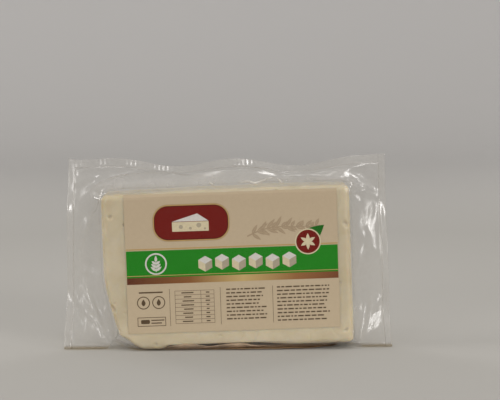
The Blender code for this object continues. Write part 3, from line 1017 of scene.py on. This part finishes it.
# Pinched ridges
# Thin milky ridges just above the block, where the vacuum has pinched the front sheet's spare film together;
# the pale haze on their crests is partly painted highlight, standing in for a glint of light along them.
# Each follows a line of points (x, z) in millimetres, lies on the sheet and thins out at both ends.
RIDGES = (
    (
        "long_ridge",
        ((6, 105.4), (10, 106.6), (14, 106.5), (17, 105.1), (22, 106.4), (27, 108.4), (31, 108.1)),
    ),
    ("right_ridge", ((31.5, 107.8), (33.5, 106.4), (36, 105.4))),
    ("left_ridge", ((-12, 106.5), (-10, 105.3), (-8, 104.6))),
)
RIDGE_HALF_WIDTH = 1.1 * MM
RIDGE_HEIGHT = 0.9 * MM
RIDGE_ROOT = 0.2 * MM
RIDGE_LIFT = 0.5
RIDGE_CLEAR = 0.2
RIDGE_GLINT_HAZE = 6.0
RIDGE_STEPS = 72
RIDGE_ROUND = 24
RIDGE_SMOOTHING = 0.16
SHEET_POINTS = 3
SHEET_FROM = 103.5 * MM
ridge_skin = film_finish("pinched_film", haze=0.12, shine=0.05, roughness=0.24, colour=(0.82, 0.79, 0.73, 1))

front_points = []
for vert, (across, height, face) in zip(bag.data.vertices, spots):
    if face < 0 and vert.co.z > SHEET_FROM:
        front_points.append(vert.co.copy())
sheet_finder = kdtree.KDTree(len(front_points))
for i, point in enumerate(front_points):
    sheet_finder.insert((point.x, 0, point.z), i)
sheet_finder.balance()


def laid(line):
    """A ridge's line, rounded at its bends and laid on the front sheet, as even steps of x, y and z."""
    steps = np.linspace(0, 1, RIDGE_STEPS)
    around = np.clip(steps[:, None] + np.linspace(-0.5, 0.5, 9) * RIDGE_SMOOTHING, 0, 1)
    knots = np.linspace(0, 1, len(line))
    x, z = (np.interp(around, knots, [spot[axis] * MM for spot in line]).mean(axis=1) for axis in (0, 1))
    y = []
    for place in zip(x, z):
        found = sheet_finder.find_n((place[0], 0, place[1]), SHEET_POINTS)
        y.append(sum(front_points[i].y for spot, i, gap in found) / SHEET_POINTS)
    return x, np.interp(around, steps, y).mean(axis=1), z


for name, line in RIDGES:
    line = laid(line)
    bm = bmesh.new()
    bmesh.ops.create_uvsphere(bm, u_segments=RIDGE_ROUND, v_segments=RIDGE_STEPS, radius=1)
    glint_haze = []
    for vert in bm.verts:
        out, up, t = vert.co
        # Partly painted highlight: the haze is whitest on the ridge's outward crest, where the glint would be
        glint_haze.append(RIDGE_CLEAR + RIDGE_GLINT_HAZE * max(out, 0) ** 3)
        x, y, z = (np.interp((t + 1) / 2, np.linspace(0, 1, RIDGE_STEPS), part) for part in line)
        out = out * abs(out) * RIDGE_HEIGHT if out > 0 else out * RIDGE_ROOT
        vert.co = Vector((x, y - out, z + up * RIDGE_HALF_WIDTH + out * RIDGE_LIFT))
    bmesh.ops.recalc_face_normals(bm, faces=bm.faces)
    ridge = show(name, bm, ridge_skin)
    note(ridge, "slack", glint_haze)
    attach(ridge, "root")
    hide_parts("vacuum_pouch")

# Gathered film
# The bag's spare length, folded to and fro under the block: flat pleats, one on the other, whose rounded
# folds show along the front, and stand up before the cheese where the block presses them forward.
PLEAT_LEFT = -58 * MM
PLEAT_RIGHT = 70 * MM
PLEAT_FRONT = 13.5 * MM
PLEAT_BACK = 13 * MM
PLEAT_ROUND = 24
PLEAT_STEPS = 130
# Each pleat: its level in the gap, the middle and half width of its fullest part, how far that stands
# forward and up and how plump it is, all in millimetres, and where its waves start
PLEATS = (
    ("lower_pleat", 0.2, 18, 40, 3.6, 0.3, 0.5, 1.2),
    ("middle_pleat", 0.5, 4, 17, 4.4, 3.0, 2.2, 4.0),
    ("upper_pleat", 0.8, -27, 13, 4.8, 3.0, 2.4, 8.5),
)
# Painted light: the gathered film is hazed warm brown, standing in for light bounced off the cheese into the
# gap, with some whey stain
pleat_skin = film_finish("gathered_film", haze=0.9, shine=0.07, roughness=0.14, colour=(0.84, 0.64, 0.44, 1))
# The lowest pleat is darker brown: painted contact shade under the gathered film
shaded_pleat_skin = film_finish("shaded_pleat_film", haze=1.0, shine=0.05, roughness=0.2, colour=(0.52, 0.36, 0.21, 1))

for name, level, middle, spread, forward, rise, plump, seed in PLEATS:
    bm = bmesh.new()
    bmesh.ops.create_cone(bm, cap_ends=True, segments=PLEAT_ROUND, radius1=1, radius2=1, depth=2)
    bmesh.ops.rotate(bm, cent=(0, 0, 0), matrix=Matrix.Rotation(math.pi / 2, 3, "Y"), verts=bm.verts)
    lengths = [e for e in bm.edges if abs(e.verts[0].co.x - e.verts[1].co.x) > 1]
    bmesh.ops.subdivide_edges(bm, edges=lengths, cuts=PLEAT_STEPS - 1, use_grid_fill=True)
    for vert in bm.verts:
        t, a, b = vert.co
        x = PLEAT_LEFT + (PLEAT_RIGHT - PLEAT_LEFT) * (t + 1) / 2
        end = 1 - abs(t) ** 7
        room = block_low(x) + 0.1 * MM
        wander = noise.noise(Vector((x / (13 * MM), seed, 0)))
        wander += 0.5 * noise.noise(Vector((x / (4 * MM), seed, 4)))
        swell = bump(x, middle * MM, spread * MM)
        front = PLEAT_FRONT + (forward * swell + wander) * MM
        y = a * front if a < 0 else a * PLEAT_BACK
        nose = ramp(-a, 0.35, 0.8)
        lift = ramp(-a, 0.6, 1.0) * rise * MM * swell * (1 + 0.4 * wander)
        flat = noise.noise(Vector((x / (9 * MM), y / (11 * MM), seed))) * 0.12 * room
        thick = 0.5 * room * (0.16 + 0.06 * wander) + plump * MM * nose * swell
        crease = noise.noise(Vector((x / (5 * MM) + 2 * b, 3 * b, seed)))
        y_fold = nose * swell * crease * 1.1 * MM
        z = room * level + flat + lift + b * max(thick, 0.12 * MM) * end
        vert.co = Vector((x, y * (0.35 + 0.65 * end) + y_fold, max(z, 0.1 * MM + 0.05 * MM * (b + 1))))
    bmesh.ops.recalc_face_normals(bm, faces=bm.faces)
    # The lowest pleat takes the finish with the painted contact shade
    pleat = show(name, bm, shaded_pleat_skin if level < 0.3 else pleat_skin)
    note(pleat, "slack", [1.0] * len(pleat.data.vertices))
    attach(pleat, "root")
    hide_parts("vacuum_pouch")

# Welds
# Where the two sheets are melted together: a plain strip up each side, curling a little, and a ribbed one
# along the top, cut in small teeth so that it tears easily.
WELD_GAP = 0.32 * MM
RIB_PITCH = 2.75 * MM
RIB_DEPTH = 0.2 * MM
TOOTH = 0.5 * MM
SIDE_CURL = 1.3 * MM
side_in = 1 - SIDE_WELD / (POUCH_WIDTH_TOP / 2)
weld_skin = film_finish("welded_film", haze=0.17, shine=0.046, roughness=0.18)


def weld(name, columns, heights, shape):
    """One weld: a strip of the double sheet, with its surface moved by shape(across, height, point)."""
    bm, spots = double_sheet(columns, heights, WELD_GAP)
    for vert, (across, height, face) in zip(bm.verts, spots):
        vert.co += shape(across, height, vert.co)
    strip = show(name, bm, weld_skin)
    mark_slack(strip, spots)
    return strip


def side_curl(across, height, point):
    """The strip's outer edge, turned forward and back along its length."""
    outward = ramp(abs(across), side_in, 1)
    z = point.z
    turn = math.sin(z / (13 * MM) + 2 * across) + 0.6 * math.sin(z / (5.5 * MM) + 5 * across)
    return Vector((0, SIDE_CURL * turn * outward * ramp(z, 4 * MM, 16 * MM), 0))


def top_ribs(across, height, point):
    """Upright ribs pressed in the seal, and the teeth that each ends in at the top."""
    x = across * POUCH_WIDTH_TOP / 2
    rib = math.cos(2 * math.pi * x / RIB_PITCH)
    up = (height - POUCH_HEIGHT + TOP_WELD) / TOP_WELD
    pressed = ramp(up, 0.1, 0.35) * (0.55 + 0.9 * noise.noise(Vector((x / (14 * MM), 5, 0))))
    return Vector((0, RIB_DEPTH * rib * pressed, TOOTH * (rib - 1) / 2 * ramp(up, 0.75, 1)))


side_heights = np.linspace(-LOWER_RUN, POUCH_HEIGHT, 120)
left_weld = weld("left_weld", np.linspace(-1, -side_in, 7), side_heights, side_curl)
right_weld = weld("right_weld", np.linspace(side_in, 1, 7), side_heights, side_curl)
rib_columns = np.linspace(-side_in, side_in, round(POUCH_WIDTH_TOP * side_in / RIB_PITCH * 8))
top_weld = weld("top_weld", rib_columns, np.linspace(POUCH_HEIGHT - TOP_WELD, POUCH_HEIGHT, 9), top_ribs)

for piece in (bag, left_weld, right_weld, top_weld):
    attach(piece, "root")
    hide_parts("vacuum_pouch")
